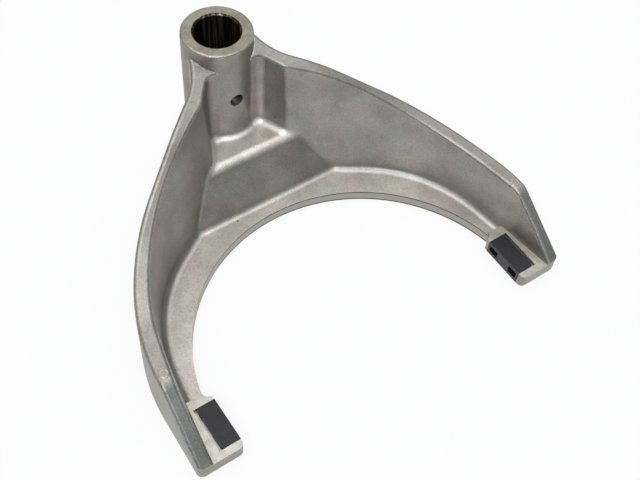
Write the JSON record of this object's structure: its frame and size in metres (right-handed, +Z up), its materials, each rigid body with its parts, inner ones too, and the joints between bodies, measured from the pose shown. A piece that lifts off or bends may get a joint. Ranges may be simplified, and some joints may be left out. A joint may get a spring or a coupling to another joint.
{
  "type": "shift fork",
  "caption": "Cast aluminium gearbox shift fork with a bored rail hub, high curved side walls and a forked flange whose tips carry plastic wear pads.",
  "frame": {"origin": "on the axis of the rail bore, in the plane of the fork's underside", "axes": "+Z up along the rail bore, -Y from the hub towards the arm tips, X across the arms; the part is symmetric about X = 0"},
  "size_m": [0.1476, 0.1233, 0.0611],
  "materials": {
    "casting": "as-cast, shot-blasted skin with milled hub end, bore and tips",
    "pads": "moulded nylon, slightly glossy"
  },
  "bodies": {
    "root": {"fork_casting": "casting", "left_pad": "pads", "right_pad": "pads"}
  },
  "joints": []
}
